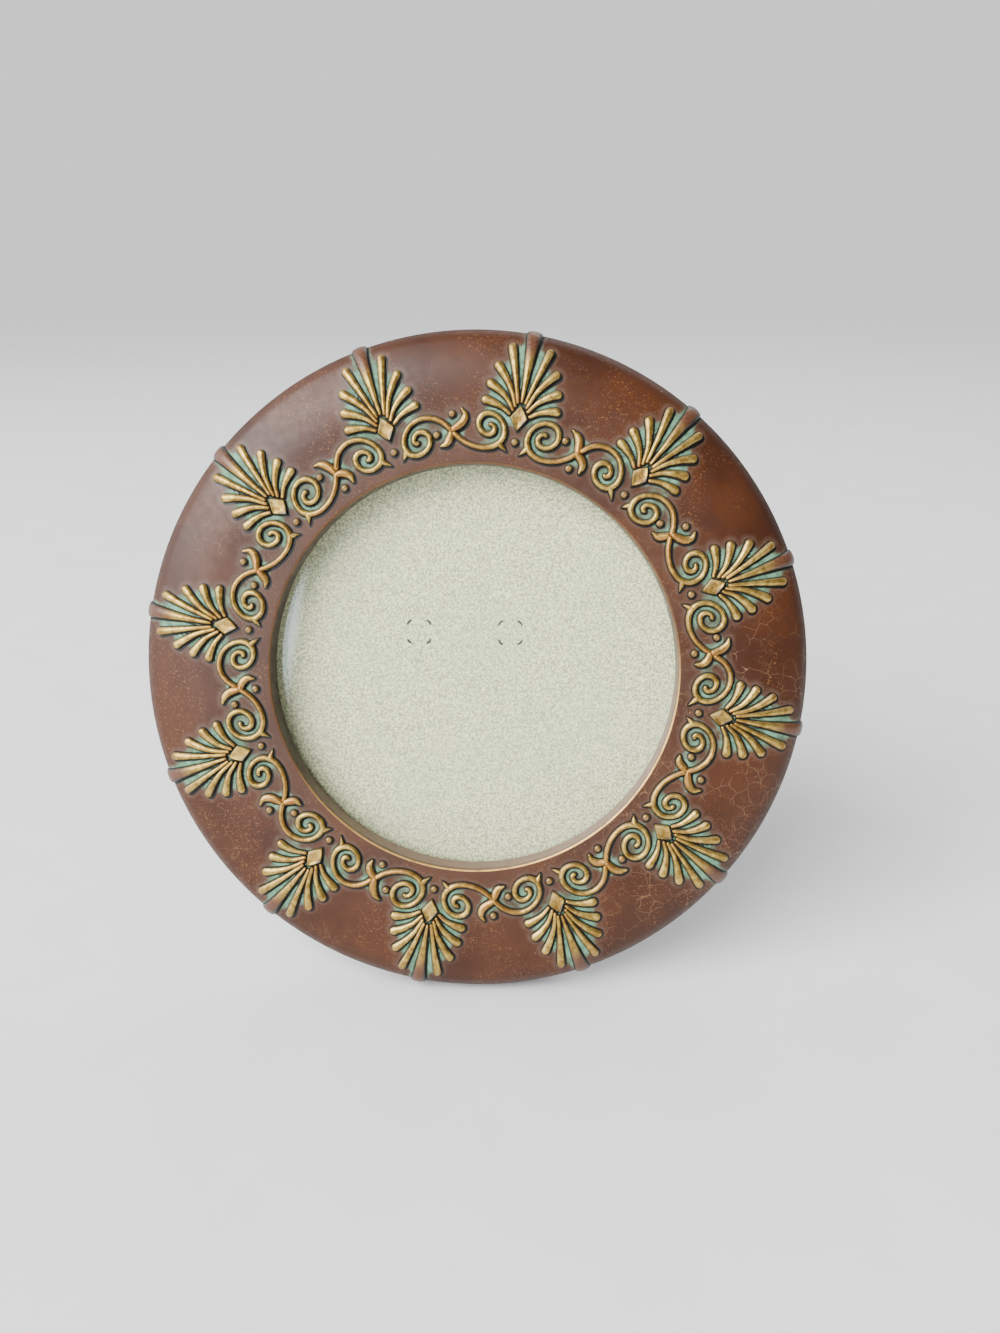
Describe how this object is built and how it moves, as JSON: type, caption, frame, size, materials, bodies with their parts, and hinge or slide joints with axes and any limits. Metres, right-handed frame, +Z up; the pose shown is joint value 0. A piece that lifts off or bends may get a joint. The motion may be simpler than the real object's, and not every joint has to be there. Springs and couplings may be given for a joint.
{
  "type": "round photo frame",
  "caption": "Round picture frame on a folding easel leg: a wide rounded face with raised palmettes and scrolls round a glazed circular opening, and a board held in by turn buttons.",
  "frame": {"origin": "middle of the footprint on the table, under the frame as it stands on its rim and leg", "axes": "+Z up; the picture faces -Y and leans back 15 degrees; +X to the right of someone who looks at the picture"},
  "size_m": [0.1722, 0.056, 0.1679],
  "materials": {
    "lacquered_resin": "cast resin in reddish-brown lacquer with antique-gold relief and green patina in the hollows",
    "clear_glass": "clear float glass",
    "greyboard": "pressed grey cardboard",
    "black_velour": "flocked velour paper",
    "rivet_steel": "nickel-plated",
    "hinge_steel": "zinc-plated",
    "screw_steel": "zinc-plated",
    "button_brass": "brass-plated steel"
  },
  "bodies": {
    "frame": {"frame_ring": "lacquered_resin", "glass_disc": "clear_glass", "back_board": "greyboard", "board_velour": "black_velour", "hinge_board_leaf": "hinge_steel", "hinge_pin": "hinge_steel", "button_screws": "screw_steel"},
    "leg": {"hinge_leg_leaf": "hinge_steel", "leg_board": "greyboard", "leg_velour": "black_velour", "leg_rivets": "rivet_steel"},
    "button_1": {"turn_button_1": "button_brass"},
    "button_2": {"turn_button_2": "button_brass"},
    "button_3": {"turn_button_3": "button_brass"},
    "button_4": {"turn_button_4": "button_brass"}
  },
  "joints": [
    {"name": "leg_hinge", "type": "hinge", "parent": "frame", "child": "leg", "pos_m": [-0.0029, 0.00727, 0.08425], "axis": [-1, 0, 0], "range_deg": [0, 27]},
    {"name": "button_swivel_1", "type": "hinge", "parent": "frame", "child": "button_1", "pos_m": [-0.04561, 0.01701, 0.12678], "axis": [0, 0.9659, -0.2588], "continuous": true},
    {"name": "button_swivel_2", "type": "hinge", "parent": "frame", "child": "button_2", "pos_m": [-0.04561, -0.0066, 0.03867], "axis": [0, 0.9659, -0.2588], "continuous": true},
    {"name": "button_swivel_3", "type": "hinge", "parent": "frame", "child": "button_3", "pos_m": [0.04561, -0.0066, 0.03867], "axis": [0, 0.9659, -0.2588], "continuous": true},
    {"name": "button_swivel_4", "type": "hinge", "parent": "frame", "child": "button_4", "pos_m": [0.04561, 0.01701, 0.12678], "axis": [0, 0.9659, -0.2588], "continuous": true}
  ]
}
